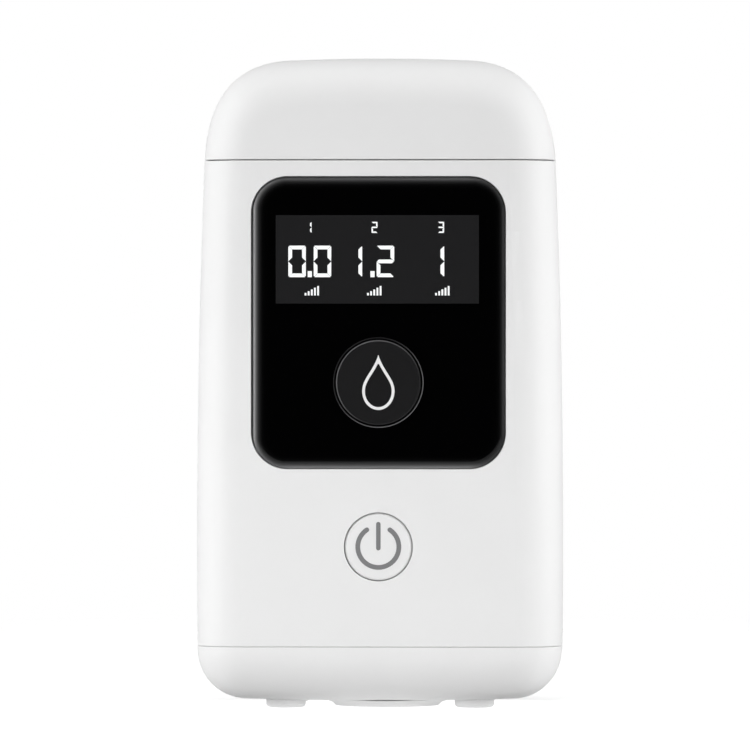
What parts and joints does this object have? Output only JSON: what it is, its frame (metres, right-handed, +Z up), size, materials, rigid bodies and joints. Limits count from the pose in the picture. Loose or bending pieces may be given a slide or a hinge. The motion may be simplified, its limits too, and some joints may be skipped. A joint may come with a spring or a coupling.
{
  "type": "water quality tester",
  "caption": "Upright bench water tester: rounded white case, lift-off cap over a sample well, gloss black display panel with round test button, power button, feet.",
  "frame": {"origin": "on the bench, below the middle of the case", "axes": "+Z up, -Y the front with the display, +X to the user's right"},
  "size_m": [0.0722, 0.052, 0.1285],
  "materials": {
    "white_plastic": "fine satin moulded white plastic",
    "black_lens": "high gloss black panel with rolled edges",
    "button_black": "satin black button face",
    "display_figures": "white display figures",
    "white_mark": "white printed line",
    "grey_mark": "grey printed line",
    "wire": "insulated wire",
    "grey_silicone": "soft matte silicone",
    "foot_rubber": "pale matte rubber",
    "steel": "plain steel screws",
    "tape": "thin double-sided tape",
    "display_glass": "display glass",
    "light_guide": "milky light guide",
    "inner_plastic": "black moulded inner plastic",
    "ribbon": "amber film",
    "switch_plastic": "switch plunger",
    "switch_metal": "switch case",
    "circuit_board": "green circuit board",
    "chip_plastic": "moulded chip case",
    "battery_wrap": "wrapped battery pack",
    "foam": "foam pad",
    "socket_metal": "socket shell",
    "cell_plastic": "black cell plastic",
    "quartz": "clear quartz",
    "can_metal": "metal can",
    "probe_metal": "polished probe steel"
  },
  "bodies": {
    "case": {"top_deck": "white_plastic", "deck_screws": "steel", "body_shell": "white_plastic", "lens_panel": "black_lens", "lens_tape": "tape", "lcd_glass": "display_glass", "backlight": "light_guide", "display_frame": "inner_plastic", "display_ribbon": "ribbon", "test_switch": "switch_metal", "power_switch": "switch_metal", "main_board": "circuit_board", "board_screws": "steel", "board_chips": "chip_plastic", "buzzer": "chip_plastic", "inner_frame": "inner_plastic", "battery_pack": "battery_wrap", "battery_foam": "foam", "battery_strap": "inner_plastic", "strap_screws": "steel", "charge_board": "circuit_board", "charge_port": "socket_metal", "charge_screws": "steel", "power_wires": "wire", "probe_ribbon": "ribbon", "lamp_ribbon": "ribbon", "light_sensor_ribbon": "ribbon", "sample_cell": "cell_plastic", "cell_seal": "grey_silicone", "cell_screws": "steel", "lamp_window": "quartz", "lamp_window_seal": "grey_silicone", "lamp_holder": "cell_plastic", "uv_lamp": "can_metal", "lamp_board": "circuit_board", "light_sensor_window": "quartz", "light_sensor_window_seal": "grey_silicone", "light_sensor_holder": "cell_plastic", "light_sensor": "can_metal", "light_sensor_board": "circuit_board", "optic_screws": "steel", "electrodes": "probe_metal", "temperature_probe": "probe_metal", "probe_seal": "grey_silicone", "sensor_board": "circuit_board", "sensor_screws": "steel", "base_cover": "white_plastic", "base_seal": "grey_silicone", "case_screws": "steel", "foot_front_left": "foot_rubber", "foot_front_right": "foot_rubber", "foot_back_left": "foot_rubber", "foot_back_right": "foot_rubber", "service_cover": "white_plastic"},
    "cap": {"top_cap": "white_plastic", "cap_plug": "grey_silicone"},
    "test_button": {"test_button": "button_black", "test_plunger": "switch_plastic"},
    "power_button": {"power_button": "white_plastic", "power_plunger": "switch_plastic"}
  },
  "joints": [
    {"name": "cap_lift", "type": "slide", "parent": "case", "child": "cap", "axis": [0, 0, 1], "range_m": [0, 0.045]},
    {"name": "test_press", "type": "slide", "parent": "case", "child": "test_button", "axis": [0, 1, 0], "range_m": [0, 0.0005], "stiffness_N_per_m": 4000},
    {"name": "power_press", "type": "slide", "parent": "case", "child": "power_button", "axis": [0, 1, 0], "range_m": [0, 0.0005], "stiffness_N_per_m": 4000}
  ]
}
